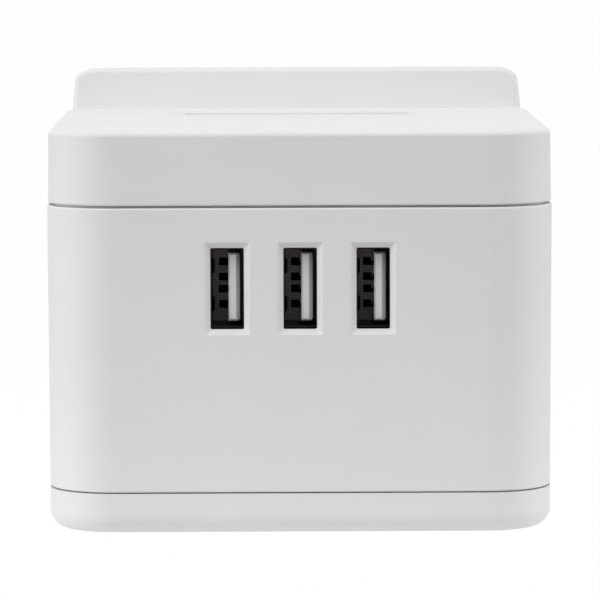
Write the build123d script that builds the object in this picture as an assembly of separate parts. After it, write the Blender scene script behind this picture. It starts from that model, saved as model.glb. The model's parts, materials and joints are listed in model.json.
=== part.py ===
from build123d import *
import os
from math import radians, tan

# Cube extension lead: a mains outlet in each side wall, a USB charger in the front wall.
# Millimetres. Origin on the ground under the middle of the case, +Z up, ports towards -Y.

# Case: outside sizes
CASE_W = 83.0
CASE_L = 83.0
CORNER_R = 11.0
BASE_H = 6.75
BODY_H = 46.75
COVER_H = 12.1
FOOT_PROUD = 0.6
BODY_DRAFT = 0.25
COVER_DRAFT = 0.7
COVER_INSET = 0.15

# Case: walls, edges and seams
WALL = 2.4
DECK_T = 2.4
FLOOR_T = 2.4
BASE_EDGE_R = 3.0
DECK_EDGE_R = 0.8
RIM_EDGE_R = 0.3
EDGE_ANGLE = 45.0
TOP_SEAM = 0.4
LOW_SEAM = 0.2
LIP_T = 1.1
LIP_H = 2.0
LIP_GAP = 0.15

# Ridge along the back of the deck, and the shallow groove in front of it
RIDGE_H = 7.2
RIDGE_T = 7.4
RIDGE_LEAN = 9.0
RIDGE_END_R = 4.8
RIDGE_END_OUT = 0.3
RIDGE_EDGE_R = 0.9
RIDGE_WALL = 2.2
GROOVE_W = 40.0
GROOVE_L = 8.0
GROOVE_BACK = 14.5
GROOVE_DEPTH = 0.3
GROOVE_R = 1.0

# USB port cut-outs in the front wall
PORT_COUNT = 3
PORT_PITCH = 11.87
PORT_RISE = 33.55
PORT_DROP = 0.15
PORT_W = 5.45
PORT_H = 13.25
PORT_R = 0.3
PORT_EDGE = 0.9
PORT_WALL = 1.1
PORT_POCKET_GAP = 0.35

# USB receptacles
USB_W = 5.12
USB_H = 12.5
USB_SHEET = 0.3
USB_BEND_R = 0.6
USB_LEN = 14.2
USB_SEAT_GAP = 0.1
USB_FIT = 0.03
USB_DEPTH = 8.88
TONGUE_T = 1.84
TONGUE_H = 11.1
TONGUE_BACK = 1.3
TONGUE_GAP = 0.52
TONGUE_R = 0.5
TONGUE_SIDE = 0.6
TONGUE_EDGE = 0.3
CONTACT_OUT = 3.5
CONTACT_IN = 1.0
CONTACT_W = 1.0
CONTACT_T = 0.2
CONTACT_BACK = 1.8
CONTACT_SLOT_W = 1.65
CONTACT_SLOT_H = 1.3
SPRING_TAB_Z = 3.1
SPRING_TAB_H = 2.2
SPRING_TAB_IN = 0.5
SPRING_TAB_LEN = 5.0
SPRING_TAB_BACK = 3.0
SHELL_TAIL_W = 2.0
TAIL_OUT = 1.2

# Charger board and what it carries
BOARD_T = 1.6
BOARD_H = 40.5
BOARD_DROP = 28.0
BOARD_EDGE = 2.6
BOARD_HOLE_GAP = 0.15
POST_R = 2.6
POST_SIDE = 6.0
POST_END = 5.0
CORE_W = 14.0
CORE_H = 11.0
CORE_D = 11.0
CORE_LEG = 3.0
CORE_SIDE = 7.5
BOBBIN_T = 1.6
BOBBIN_GAP = 0.3
PARTS_GAP = 0.6
INPUT_CAP_R = 4.5
INPUT_CAP_L = 14.0
INPUT_CAP_SIDE = 5.5
OUTPUT_CAP_R = 3.5
OUTPUT_CAP_L = 11.0
OUTPUT_CAP_SIDE = 14.0
CAP_EDGE_R = 0.8
CHIP_W = 5.0
CHIP_H = 5.0
CHIP_T = 1.6
WIRE_R = 0.9
WIRE_BEND_R = 1.4
WIRE_SIDE = 12.0
WIRE_DROP = 5.2

# Mains outlets: pin pattern and slots
PIN_SIDE = 11.11
PIN_ROW = 22.23
LINE_SLOT_W = 7.2
LINE_SLOT_H = 4.8
EARTH_SLOT_W = 4.8
EARTH_SLOT_H = 8.8
SLOT_R = 0.5
SLOT_EDGE = 0.4

# Outlet faces in the side walls, with the shutter's chamber behind them
FACE_SIDE = 38.0
FACE_R = 4.0
FACE_T = 2.4
FACE_SET = 0.4
FACE_GAP = 0.25
FACE_EDGE = 0.4
FLANGE_SIDE = 9.0
FLANGE_END = 2.0
FLANGE_T = 1.3
FLANGE_GAP = 0.15
CHAMBER_W = 33.0
CHAMBER_WALL = 1.5
CHAMBER_R = 2.0

# Safety shutters and their springs
SHUTTER_T = 2.4
SHUTTER_GAP = 0.3
SHUTTER_LAP = 0.4
SHUTTER_TRAVEL = 5.4
STEM_W = 8.4
WEDGE_W = 4.2
WEDGE_RUN = 5.8
WEDGE_FOOT = 2.4
SPRING_R = 1.1
SPRING_WIRE = 0.36
SPRING_LEN = 9.0
SPRING_TURNS = 6
SPRING_TOP = 5.0
SPRING_SLOT_W = 3.0
SPRING_PEG_T = 1.6

# Contact carriers
CARRIER_T = 2.4
TOWER_WALL = 1.6
TOWER_GAP = 0.4
EAR_SIDE = 24.0
EAR_R = 3.4
EAR_RISE = 4.0
EAR_BOSS_R = 2.6
EAR_BOSS_GAP = 0.3

# Contact clips and bars
STRIP_T = 0.8
STRIP_W = 5.0
CLIP_SET = 1.2
CLIP_NECK = 3.6
CLIP_BACK = 4.4
CLIP_FLARE = 2.8
CLIP_BEND_R = 0.9
LINE_CLIP_LEN = 11.0
EARTH_CLIP_LEN = 14.4
CLIP_OUT = 1.0

# Cable gland in the rear wall
GLAND_BORE_R = 4.2
GLAND_R = 6.2
GLAND_FLANGE_R = 8.2
GLAND_FLANGE_T = 1.1
GLAND_EDGE_R = 0.35
GLAND_SET = 0.2
GLAND_INNER_LEN = 6.0
GLAND_BARB = 0.8
GLAND_BARB_LEN = 2.4
GLAND_GAP = 0.15
GLAND_RISE = 11.5

# Bosses, fasteners and feet
BOSS_INSET = 12.0
BOSS_R = 3.2
PILLAR_R = 3.9
PILLAR_GAP = 0.1
SCREW_R = 1.45
SCREW_GRIP = 9.0
HEAD_R = 2.6
HEAD_H = 1.8
HEAD_EDGE_R = 0.5
HEAD_GAP = 0.3
SMALL_SCREW_R = 1.1
SMALL_HEAD_R = 2.0
SMALL_HEAD_H = 1.4
SMALL_GRIP = 4.0
PILOT_GAP = 0.05
PILOT_SPARE = 2.0
SHANK_GAP = 0.25
FOOT_R = 5.0
FOOT_SUNK = 0.8
FOOT_GAP = 0.15
FOOT_EDGE_R = 0.3

# Heights worked out from the sizes above
Z_FLOOR = FOOT_PROUD
Z_LOW = Z_FLOOR + BASE_H
Z_UP = Z_LOW + BODY_H
Z_DECK = Z_UP + COVER_H
Z_CEILING = Z_DECK - DECK_T
Z_RIDGE = Z_DECK + RIDGE_H
Z_PILLAR = Z_LOW + LIP_H
Z_HEAD = Z_FLOOR + FOOT_SUNK + HEAD_GAP
Z_PORT = Z_LOW + PORT_RISE
Z_GLAND = Z_LOW + GLAND_RISE
Z_SOCKET = (Z_LOW + Z_UP) / 2
Z_LINE = Z_SOCKET - PIN_ROW / 2
Z_EARTH = Z_SOCKET + PIN_ROW / 2
Z_EAR = Z_SOCKET + EAR_RISE
Z_WEDGE = Z_EARTH - EARTH_SLOT_H / 2 - SHUTTER_LAP
Z_SPRING = Z_SOCKET + SPRING_TOP
Z_PEG = Z_SPRING - SPRING_LEN - SPRING_PEG_T
Z_CHAMBER = Z_LINE - LINE_SLOT_H / 2 - SHUTTER_LAP - SHUTTER_TRAVEL - SHUTTER_GAP
Z_CHAMBER_TOP = Z_EARTH + EARTH_SLOT_H / 2 + CHAMBER_WALL
Z_BOARD = Z_PORT - BOARD_DROP
Z_PARTS = Z_PORT - USB_H / 2 - USB_SHEET - PARTS_GAP
Z_WIRE = Z_LINE - WIRE_DROP

# Faces across the case, front to back and from the middle outwards
BODY_SHRINK = BODY_H * tan(radians(BODY_DRAFT))
Y_FRONT = -CASE_L / 2
Y_BACK = CASE_L / 2
Y_RIDGE = Y_BACK - RIDGE_T
Y_MOUTH = Y_FRONT + PORT_WALL + USB_SEAT_GAP
Y_TONGUE = Y_MOUTH + TONGUE_BACK
Y_BLOCK = Y_MOUTH + USB_DEPTH
Y_BOARD = Y_MOUTH + USB_LEN
Y_BOARD_BACK = Y_BOARD + BOARD_T
Y_GLAND = Y_BACK - BODY_SHRINK - GLAND_SET
X_SIDE = CASE_W / 2
X_FACE = X_SIDE - BODY_SHRINK / 2 - FACE_SET
X_CHAMBER = X_FACE - FACE_T
X_SHUTTER = X_CHAMBER - SHUTTER_GAP
X_SHUTTER_BACK = X_SHUTTER - SHUTTER_T
X_CARRIER = X_SHUTTER_BACK - SHUTTER_GAP
X_PLATE = X_CARRIER - CARRIER_T
X_WEDGE = X_SHUTTER - WEDGE_RUN
X_CLIP = X_PLATE - CLIP_SET

# Patterns and sizes that several pieces share
BOSS_X = X_PLATE - SMALL_HEAD_H - HEAD_GAP - BOSS_R
BOSS_Y = Y_BACK - BOSS_INSET
BOSS_SPOTS = [(sx * BOSS_X, sy * BOSS_Y) for sy in (-1, 1) for sx in (-1, 1)]
PORT_X = [(i - (PORT_COUNT - 1) / 2) * PORT_PITCH for i in range(PORT_COUNT)]
CONTACT_Z = [Z_PORT + dz for dz in (-CONTACT_OUT, -CONTACT_IN, CONTACT_IN, CONTACT_OUT)]
TONGUE_NEAR = USB_W / 2 - TONGUE_GAP - TONGUE_T
POST_X = PORT_X[-1] + POST_SIDE
POST_Z = (Z_BOARD + POST_END, Z_BOARD + BOARD_H - POST_END)
POST_SPOTS = [(sx * POST_X, z) for z in POST_Z for sx in (-1, 1)]
LINE_CLIP_W = LINE_SLOT_W - 2 * TOWER_GAP
EARTH_CLIP_W = EARTH_SLOT_H - 2 * TOWER_GAP
CLIP_ROOM = CLIP_BACK + 2 * STRIP_T + 2 * TOWER_GAP
X_LINE_WEB = X_CLIP - LINE_CLIP_LEN
X_EARTH_WEB = X_CLIP - EARTH_CLIP_LEN
SLOTS = (
    (-PIN_SIDE, Z_LINE, LINE_SLOT_W, LINE_SLOT_H),
    (PIN_SIDE, Z_LINE, LINE_SLOT_W, LINE_SLOT_H),
    (0, Z_EARTH, EARTH_SLOT_W, EARTH_SLOT_H),
)
TOWERS = (
    (-PIN_SIDE, Z_LINE, LINE_SLOT_W, CLIP_ROOM, X_LINE_WEB + CLIP_OUT),
    (PIN_SIDE, Z_LINE, LINE_SLOT_W, CLIP_ROOM, X_LINE_WEB + CLIP_OUT),
    (0, Z_EARTH, CLIP_ROOM, EARTH_SLOT_H, X_EARTH_WEB + CLIP_OUT),
)


# Helpers

def block(x0, x1, y0, y1, z0, z1):
    """A box between two corners."""
    return Pos((x0 + x1) / 2, (y0 + y1) / 2, (z0 + z1) / 2) * Box(x1 - x0, y1 - y0, z1 - z0)


def rod(radius, x, y, z0, z1):
    """An upright cylinder."""
    return Pos(x, y, (z0 + z1) / 2) * Cylinder(radius, z1 - z0)


def rod_y(radius, x, z, y0, y1):
    """A cylinder along Y."""
    return Pos(x, (y0 + y1) / 2, z) * Rot(90, 0, 0) * Cylinder(radius, y1 - y0)


def rod_x(radius, y, z, x0, x1):
    """A cylinder along X."""
    return Pos((x0 + x1) / 2, y, z) * Rot(0, 90, 0) * Cylinder(radius, x1 - x0)


def outline(inset, z0, z1, draft=0.0):
    """The case outline, set in by a distance, from one height to another."""
    face = RectangleRounded(CASE_W - 2 * inset, CASE_L - 2 * inset, CORNER_R - inset)
    return extrude(Plane.XY.offset(z0) * face, z1 - z0, taper=draft)


def side_panel(width, height, radius, y, z, x0, x1):
    """A rounded panel square to X, between two X planes."""
    face = RectangleRounded(width, height, radius)
    return extrude(Plane.YZ.offset(x0) * Pos(y, z) * face, x1 - x0)


def side_mouth(width, height, radius, y, z, x, edge):
    """A bevelled mouth, larger than an opening by an edge all round, from x inwards."""
    face = RectangleRounded(width + 2 * edge, height + 2 * edge, radius + edge)
    return extrude(Plane((x, y, z), x_dir=(0, -1, 0), z_dir=(-1, 0, 0)) * face, edge, taper=EDGE_ANGLE)


def front_panel(width, height, radius, x, z, y0, y1):
    """A rounded panel square to Y, from y0 back to y1."""
    plane = Plane((x, y0, z), x_dir=(1, 0, 0), z_dir=(0, 1, 0))
    return extrude(plane * RectangleRounded(width, height, radius), y1 - y0)


def turned(part):
    """The same piece on the opposite side of the case."""
    return Rot(0, 0, 180) * part


# Case mouldings

def make_body():
    """The four walls, with lips, port cut-outs, outlet openings, posts and the gland hole."""
    z0 = Z_LOW + LOW_SEAM / 2
    z1 = Z_UP - TOP_SEAM / 2
    outer = outline(BODY_SHRINK, z0, z1, -BODY_DRAFT)
    rims = outer.edges().group_by(Axis.Z)
    outer = fillet(rims[0] + rims[-1], RIM_EDGE_R)
    lip = outline(WALL - LIP_T, z1 - LIP_H, Z_UP + LIP_H)
    inner = outline(BODY_SHRINK + WALL, z0, z1, -BODY_DRAFT)
    inner += outline(WALL, z1 - LIP_H, Z_UP + LIP_H)
    rebate = outline(BODY_SHRINK + WALL - LIP_T, z0, Z_LOW + LIP_H + LIP_GAP)
    body = outer + lip - inner - rebate
    for x in PORT_X:
        body -= port_cut(x)
    for x, z in POST_SPOTS:
        body += board_post(x, z)
    opening = FACE_SIDE + 2 * FACE_GAP
    opening_r = FACE_R + FACE_GAP
    body -= side_panel(opening, opening, opening_r, 0, Z_SOCKET, -CASE_W, CASE_W)
    mouth = side_mouth(opening, opening, opening_r, 0, Z_SOCKET, X_SIDE, FACE_EDGE + BODY_SHRINK / 2)
    body -= mouth + turned(mouth)
    body += ear_rods(EAR_BOSS_R, X_SIDE - WALL / 2)
    body -= ear_rods(SMALL_SCREW_R + PILOT_GAP, X_CARRIER + SMALL_GRIP + PILOT_GAP)
    return body - gland_hole()


def port_cut(x):
    """One port's cut-out: bevelled mouth, straight hole and the thinned wall behind it."""
    z = Z_PORT - PORT_DROP
    edge = PORT_EDGE + BODY_SHRINK / 2
    plane = Plane((x, Y_FRONT, z), x_dir=(1, 0, 0), z_dir=(0, 1, 0))
    mouth = extrude(plane * Rectangle(PORT_W + 2 * edge, PORT_H + 2 * edge), edge, taper=EDGE_ANGLE)
    mouth = fillet(mouth.edges().group_by(Axis.Y)[1], PORT_R)
    hole = front_panel(PORT_W, PORT_H, PORT_R, x, z, Y_FRONT, Y_FRONT + 2 * WALL)
    wide = USB_W + 2 * USB_SHEET + 2 * PORT_POCKET_GAP
    tall = USB_H + 2 * USB_SHEET + 2 * PORT_POCKET_GAP
    y_pocket = Y_FRONT + PORT_WALL
    pocket = front_panel(wide, tall, USB_BEND_R, x, Z_PORT, y_pocket, y_pocket + 2 * WALL)
    return mouth + hole + pocket


def board_post(x, z):
    """A post on the front wall that the charger board is screwed to."""
    post = rod_y(POST_R, x, z, Y_FRONT + WALL / 2, Y_BOARD)
    return post - rod_y(SMALL_SCREW_R + PILOT_GAP, x, z, Y_BOARD - SMALL_GRIP - PILOT_SPARE, Y_BOARD)


def ear_rods(radius, x1):
    """Rods from where the carriers' ears sit out to x1, for the bosses there and their pilot holes."""
    right = Part() + [rod_x(radius, side * EAR_SIDE, Z_EAR, X_CARRIER, x1) for side in (-1, 1)]
    return right + turned(right)


def gland_hole():
    """The stepped hole in the rear wall that the gland sits in."""
    y_step = Y_GLAND - GLAND_FLANGE_T - GLAND_GAP
    hole = rod_y(GLAND_R + GLAND_GAP, 0, Z_GLAND, Y_BACK - 2 * WALL, Y_BACK + WALL)
    return hole + rod_y(GLAND_FLANGE_R + GLAND_GAP, 0, Z_GLAND, y_step, Y_BACK + WALL)


def make_cover():
    """The deck with its skirt and groove, the ridge at the back, and the four long bosses inside."""
    z0 = Z_UP + TOP_SEAM / 2
    deck = outline(COVER_INSET, z0, Z_DECK, COVER_DRAFT)
    rims = deck.edges().group_by(Axis.Z)
    deck = fillet(rims[0], RIM_EDGE_R)
    deck = fillet(deck.edges().group_by(Axis.Z)[-1], DECK_EDGE_R)
    inner = outline(COVER_INSET + WALL, z0, Z_CEILING)
    rebate = outline(WALL - LIP_T - LIP_GAP, z0, Z_UP + LIP_H + LIP_GAP)
    groove = RectangleRounded(GROOVE_W, GROOVE_L, GROOVE_R)
    place = Pos(0, Y_RIDGE - GROOVE_BACK - GROOVE_L / 2, Z_DECK - GROOVE_DEPTH)
    cover = deck + ridge() - inner - rebate - ridge_core() - extrude(place * groove, DECK_T)
    for x, y in BOSS_SPOTS:
        cover += rod(BOSS_R, x, y, Z_PILLAR + PILLAR_GAP, Z_CEILING)
        cover -= rod(SCREW_R + PILOT_GAP, x, y, Z_PILLAR, Z_PILLAR + SCREW_GRIP + PILOT_SPARE)
    return cover


def ridge():
    """The raised rear edge: the case outline behind the deck, with rounded ends and edges."""
    z0 = Z_DECK - 2 * DECK_EDGE_R
    raised = outline(COVER_INSET, Z_UP + TOP_SEAM / 2, Z_RIDGE, COVER_DRAFT) & behind_ridge(0, z0, Z_RIDGE)
    half = raised.faces().sort_by(Axis.Y)[0].bounding_box().max.X + RIDGE_END_OUT
    arch = RectangleRounded(2 * half, 2 * (Z_RIDGE - z0), RIDGE_END_R)
    plane = Plane((0, Y_RIDGE - RIDGE_WALL, z0), x_dir=(1, 0, 0), z_dir=(0, 1, 0))
    raised = raised & extrude(plane * arch, CASE_L)
    edges = [edge for edge in raised.edges() if edge.center().Z > Z_DECK and not is_seam(edge)]
    return fillet(edges, RIDGE_EDGE_R)


def behind_ridge(back, z0, z1):
    """The room between two levels that lies further back than the ridge's leaning front."""
    slab = Rot(-RIDGE_LEAN, 0, 0) * block(-CASE_W, CASE_W, 0, CASE_L, -CASE_L, CASE_L)
    return Pos(0, Y_RIDGE + back, Z_DECK) * slab & block(-CASE_W, CASE_W, -CASE_L, CASE_L, z0, z1)


def is_seam(edge):
    """Whether an edge of the ridge only parts two faces that run smoothly into each other.

    Those are the straight edges that don't run along the ridge.
    """
    return edge.geom_type == GeomType.LINE and round(abs((edge % 0.5).X)) == 0


def ridge_core():
    """The hollow under the ridge, so that its walls stay even."""
    half = X_SIDE - CORNER_R - RIDGE_WALL
    y1 = Y_BACK - COVER_INSET - WALL
    z0 = Z_CEILING - DECK_T
    z1 = Z_RIDGE - DECK_T
    return block(-half, half, Y_RIDGE, y1, z0, z1) & behind_ridge(RIDGE_WALL, z0, z1)


def make_base():
    """The bottom tray: rounded lower edge, lip, screw pillars and foot pockets."""
    z1 = Z_LOW - LOW_SEAM / 2
    outer = outline(BODY_SHRINK, Z_FLOOR, z1)
    outer = fillet(outer.edges().group_by(Axis.Z)[0], BASE_EDGE_R)
    lip = outline(BODY_SHRINK + WALL - LIP_T + LIP_GAP, z1 - LIP_H, Z_LOW + LIP_H)
    inner = outline(BODY_SHRINK + WALL, Z_FLOOR + FLOOR_T, Z_LOW + LIP_H)
    base = outer + lip - inner
    z_pocket = Z_FLOOR + FOOT_SUNK
    for x, y in BOSS_SPOTS:
        base += rod(PILLAR_R, x, y, z_pocket, Z_PILLAR)
        base -= rod(FOOT_R + FOOT_GAP, x, y, 0, z_pocket)
        base -= rod(HEAD_R + HEAD_GAP, x, y, z_pocket, Z_HEAD + HEAD_H)
        base -= rod(SCREW_R + SHANK_GAP, x, y, z_pocket, Z_PILLAR)
    return base


def make_foot(x, y):
    """A rubber disc set into its pocket under the base."""
    disc = rod(FOOT_R, x, y, 0, Z_FLOOR + FOOT_SUNK)
    return fillet(disc.edges().group_by(Axis.Z)[0], FOOT_EDGE_R)


# Fasteners

def screw(shank_r, head_r, head_h, length):
    """A pan-head screw along +Z, with the underside of its head at the origin."""
    head = Pos(0, 0, -head_h / 2) * Cylinder(head_r, head_h)
    head = fillet(head.edges().group_by(Axis.Z)[0], HEAD_EDGE_R)
    return head + Pos(0, 0, length / 2) * Cylinder(shank_r, length)


def case_screws():
    """The screws that pull the base up against the cover's bosses."""
    z_seat = Z_HEAD + HEAD_H
    one = screw(SCREW_R, HEAD_R, HEAD_H, Z_PILLAR - z_seat + SCREW_GRIP)
    return [Pos(x, y, z_seat) * one for x, y in BOSS_SPOTS]


def board_screws():
    """The screws through the charger board into its posts."""
    one = screw(SMALL_SCREW_R, SMALL_HEAD_R, SMALL_HEAD_H, BOARD_T + SMALL_GRIP)
    return [Pos(x, Y_BOARD_BACK, z) * Rot(90, 0, 0) * one for x, z in POST_SPOTS]


def carrier_screws():
    """The screws through the ears of both contact carriers."""
    one = Rot(0, 90, 0) * screw(SMALL_SCREW_R, SMALL_HEAD_R, SMALL_HEAD_H, CARRIER_T + SMALL_GRIP)
    right = [Pos(X_PLATE, side * EAR_SIDE, Z_EAR) * one for side in (-1, 1)]
    return right + [turned(piece) for piece in right]


# USB receptacles

def usb_shell(x):
    """The folded sheet shell, with spring tabs on one broad wall and tails into the board."""
    y_end = Y_BOARD - USB_SEAT_GAP
    wide = USB_W + 2 * USB_SHEET
    tall = USB_H + 2 * USB_SHEET
    shell = front_panel(wide, tall, USB_BEND_R, x, Z_PORT, Y_MOUTH, y_end)
    shell -= front_panel(USB_W, USB_H, USB_BEND_R - USB_SHEET, x, Z_PORT, Y_MOUTH, y_end)
    half = SHELL_TAIL_W / 2
    reach = USB_SHEET / 2
    y_tail = Y_BOARD_BACK + TAIL_OUT
    for side in (-1, 1):
        shell += spring_tab(x, Z_PORT + side * SPRING_TAB_Z)
        z = Z_PORT + side * (USB_H + USB_SHEET) / 2
        shell += block(x - half, x + half, Y_BLOCK, y_tail, z - reach, z + reach)
    return shell


def spring_tab(x, z):
    """A bowed tab pressed inwards from the shell's left wall."""
    wall = x - USB_W / 2 - USB_SHEET / 2
    y0 = Y_MOUTH + SPRING_TAB_BACK
    top = (wall + SPRING_TAB_IN, y0 + SPRING_TAB_LEN / 2)
    bow = ThreePointArc((wall, y0), top, (wall, y0 + SPRING_TAB_LEN))
    strip = make_face(offset(bow, USB_SHEET / 2, side=Side.BOTH))
    return extrude(Plane.XY.offset(z - SPRING_TAB_H / 2) * strip, SPRING_TAB_H)


def usb_insulator(x):
    """The rear block with contact slots, and the grooved tongue that stands forward from it."""
    y_end = Y_BOARD - USB_SEAT_GAP
    wide = USB_W - 2 * USB_FIT
    tall = USB_H - 2 * USB_FIT
    near = x + TONGUE_NEAR
    half = TONGUE_H / 2
    tongue = block(near, near + TONGUE_T, Y_TONGUE, Y_BLOCK, Z_PORT - half, Z_PORT + half)
    tongue = chamfer(tongue.faces().sort_by(Axis.Y)[0].edges().sort_by(Axis.X)[:-1], TONGUE_EDGE)
    tongue = chamfer(tongue.faces().sort_by(Axis.Y)[0].edges().sort_by(Axis.X)[-1], TONGUE_SIDE)
    tongue = fillet(tongue.edges().filter_by(Axis.Y).group_by(Axis.X)[-1], TONGUE_R)
    insulator = tongue + front_panel(wide, tall, USB_BEND_R - USB_SHEET, x, Z_PORT, Y_BLOCK, y_end)
    half = CONTACT_SLOT_H / 2
    for z in CONTACT_Z:
        insulator -= block(near - CONTACT_SLOT_W, near, Y_BLOCK, y_end, z - half, z + half)
    return insulator - usb_contacts(x)


def usb_contacts(x):
    """Four flat contacts sunk in the tongue's side, through the block and the board."""
    near = x + TONGUE_NEAR
    half = CONTACT_W / 2
    y0 = Y_TONGUE + CONTACT_BACK
    y1 = Y_BOARD_BACK + TAIL_OUT
    return [block(near, near + CONTACT_T, y0, y1, z - half, z + half) for z in CONTACT_Z]


# Charger

def charger_board():
    """The board square to Y, with holes for screws, contacts and shell tails."""
    half = POST_X + POST_R + BOARD_EDGE
    board = block(-half, half, Y_BOARD, Y_BOARD_BACK, Z_BOARD, Z_BOARD + BOARD_H)
    for x, z in POST_SPOTS:
        board -= rod_y(SMALL_SCREW_R + SHANK_GAP, x, z, Y_BOARD, Y_BOARD_BACK)
    gap = BOARD_HOLE_GAP
    for x in PORT_X:
        near = x + TONGUE_NEAR
        half = CONTACT_W / 2 + gap
        for z in CONTACT_Z:
            board -= block(near - gap, near + CONTACT_T + gap, Y_BOARD, Y_BOARD_BACK, z - half, z + half)
        half = SHELL_TAIL_W / 2 + gap
        reach = USB_SHEET / 2 + gap
        for side in (-1, 1):
            z = Z_PORT + side * (USB_H + USB_SHEET) / 2
            board -= block(x - half, x + half, Y_BOARD, Y_BOARD_BACK, z - reach, z + reach)
    return board


def transformer_core():
    """The ferrite frame round the winding."""
    y0 = Y_BOARD_BACK + BOBBIN_T
    x0 = -CORE_SIDE - CORE_W / 2
    x1 = x0 + CORE_W
    z0 = Z_PARTS - CORE_H
    z1 = Z_PARTS
    frame = block(x0, x1, y0, y0 + CORE_D, z0, z1)
    return frame - block(x0 + CORE_LEG, x1 - CORE_LEG, y0, y0 + CORE_D, z0 + CORE_LEG, z1 - CORE_LEG)


def transformer_winding():
    """The wound bobbin in the frame's window, with its flanges, seated on the board."""
    x0 = -CORE_SIDE - CORE_W / 2
    x1 = x0 + CORE_W
    z0 = Z_PARTS - CORE_H
    z1 = Z_PARTS
    side = CORE_LEG + BOBBIN_GAP
    y1 = Y_BOARD_BACK + BOBBIN_T
    coil = block(x0 + side, x1 - side, y1, y1 + CORE_D + BOBBIN_T, z0 + side, z1 - side)
    return coil + block(x0, x1, Y_BOARD_BACK, y1, z0, z1)


def capacitor(radius, length, x):
    """A can capacitor standing on the back of the board."""
    can = rod_y(radius, x, Z_PARTS - radius, Y_BOARD_BACK, Y_BOARD_BACK + length)
    return fillet(can.edges().group_by(Axis.Y)[-1], CAP_EDGE_R)


def charge_controller():
    """The chip on the back of the board, between two ports."""
    x0 = -(PORT_PITCH + CHIP_W) / 2
    z0 = Z_PORT - CHIP_H / 2
    return block(x0, x0 + CHIP_W, Y_BOARD_BACK, Y_BOARD_BACK + CHIP_T, z0, z0 + CHIP_H)


def feed_wire(side, edge):
    """An insulated link from the underside of a line bar to the back of the board."""
    x = side * WIRE_SIDE
    y = -WIRE_SIDE * PIN_SIDE / X_LINE_WEB
    z_bar = bar_level(edge) - STRIP_T / 2
    path = FilletPolyline((x, y, z_bar), (x, y, Z_WIRE), (x, Y_BOARD_BACK, Z_WIRE), radius=WIRE_BEND_R)
    return sweep(Plane((x, y, z_bar), z_dir=(0, 0, -1)) * Circle(WIRE_R), path)


# Mains outlets: the right-hand one is modelled, and turned for the left

def slot_cuts():
    """The three pin slots through an outlet face, with eased mouths."""
    cuts = Part()
    for y, z, width, height in SLOTS:
        cuts += side_panel(width, height, SLOT_R, y, z, X_CHAMBER, X_FACE)
        cuts += side_mouth(width, height, SLOT_R, y, z, X_FACE, SLOT_EDGE)
    return cuts


def chamber_panel(grow, x0, x1, radius):
    """A panel over the shutter's chamber, larger than it by a margin all round."""
    height = Z_CHAMBER_TOP - Z_CHAMBER + 2 * grow
    middle = (Z_CHAMBER_TOP + Z_CHAMBER) / 2
    return side_panel(CHAMBER_W + 2 * grow, height, radius, 0, middle, x0, x1)


def socket_face():
    """An outlet face: slab in the wall's opening, flange behind the wall, and the shutter's chamber."""
    slab = side_panel(FACE_SIDE, FACE_SIDE, FACE_R, 0, Z_SOCKET, X_CHAMBER, X_FACE)
    slab = fillet(slab.faces().sort_by(Axis.X)[-1].edges(), FACE_EDGE)
    x1 = X_SIDE - WALL - BODY_SHRINK - FLANGE_GAP
    wide = FACE_SIDE + 2 * FLANGE_SIDE
    tall = FACE_SIDE + 2 * FLANGE_END
    flange = side_panel(wide, tall, FACE_R, 0, Z_SOCKET, x1 - FLANGE_T, x1)
    walls = chamber_panel(CHAMBER_WALL, X_CARRIER, X_CHAMBER, CHAMBER_R)
    face = slab + flange + walls - chamber_panel(0, X_CARRIER, X_CHAMBER, SLOT_R) - slot_cuts()
    for side in (-1, 1):
        face -= rod_x(EAR_BOSS_R + EAR_BOSS_GAP, side * EAR_SIDE, Z_EAR, X_CARRIER, X_FACE)
    return face


def shutter():
    """A shutter: bar over both line slots, stem with the spring's slot, and the earth pin's wedge."""
    wide = 2 * PIN_SIDE + LINE_SLOT_W + 2 * SHUTTER_LAP
    tall = LINE_SLOT_H + 2 * SHUTTER_LAP
    bar = side_panel(wide, tall, SLOT_R, 0, Z_LINE, X_SHUTTER_BACK, X_SHUTTER)
    stem = block(X_SHUTTER_BACK, X_SHUTTER, -STEM_W / 2, STEM_W / 2, Z_LINE, Z_WEDGE)
    half = SPRING_SLOT_W / 2
    slot = block(X_SHUTTER_BACK, X_SHUTTER, -half, half, Z_PEG - SHUTTER_GAP, Z_SPRING)
    section = make_face(
        Polyline(
            (X_SHUTTER, Z_WEDGE - WEDGE_FOOT),
            (X_SHUTTER, Z_WEDGE),
            (X_WEDGE, Z_WEDGE + SHUTTER_TRAVEL),
            (X_WEDGE, Z_WEDGE - WEDGE_FOOT),
            close=True,
        )
    )
    wedge = extrude(Plane.XZ.offset(-WEDGE_W / 2) * section, WEDGE_W)
    return bar + stem + wedge - slot


def shutter_spring():
    """A return spring, between a carrier's peg and the top of the shutter's slot."""
    x = (X_SHUTTER + X_SHUTTER_BACK) / 2
    height = SPRING_LEN - SPRING_WIRE
    z0 = Z_SPRING - SPRING_LEN + SPRING_WIRE / 2
    path = Helix(height / SPRING_TURNS, height, SPRING_R - SPRING_WIRE / 2, center=(x, 0, z0))
    return sweep(Plane(path @ 0, z_dir=path % 0) * Circle(SPRING_WIRE / 2), path, is_frenet=True)


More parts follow.
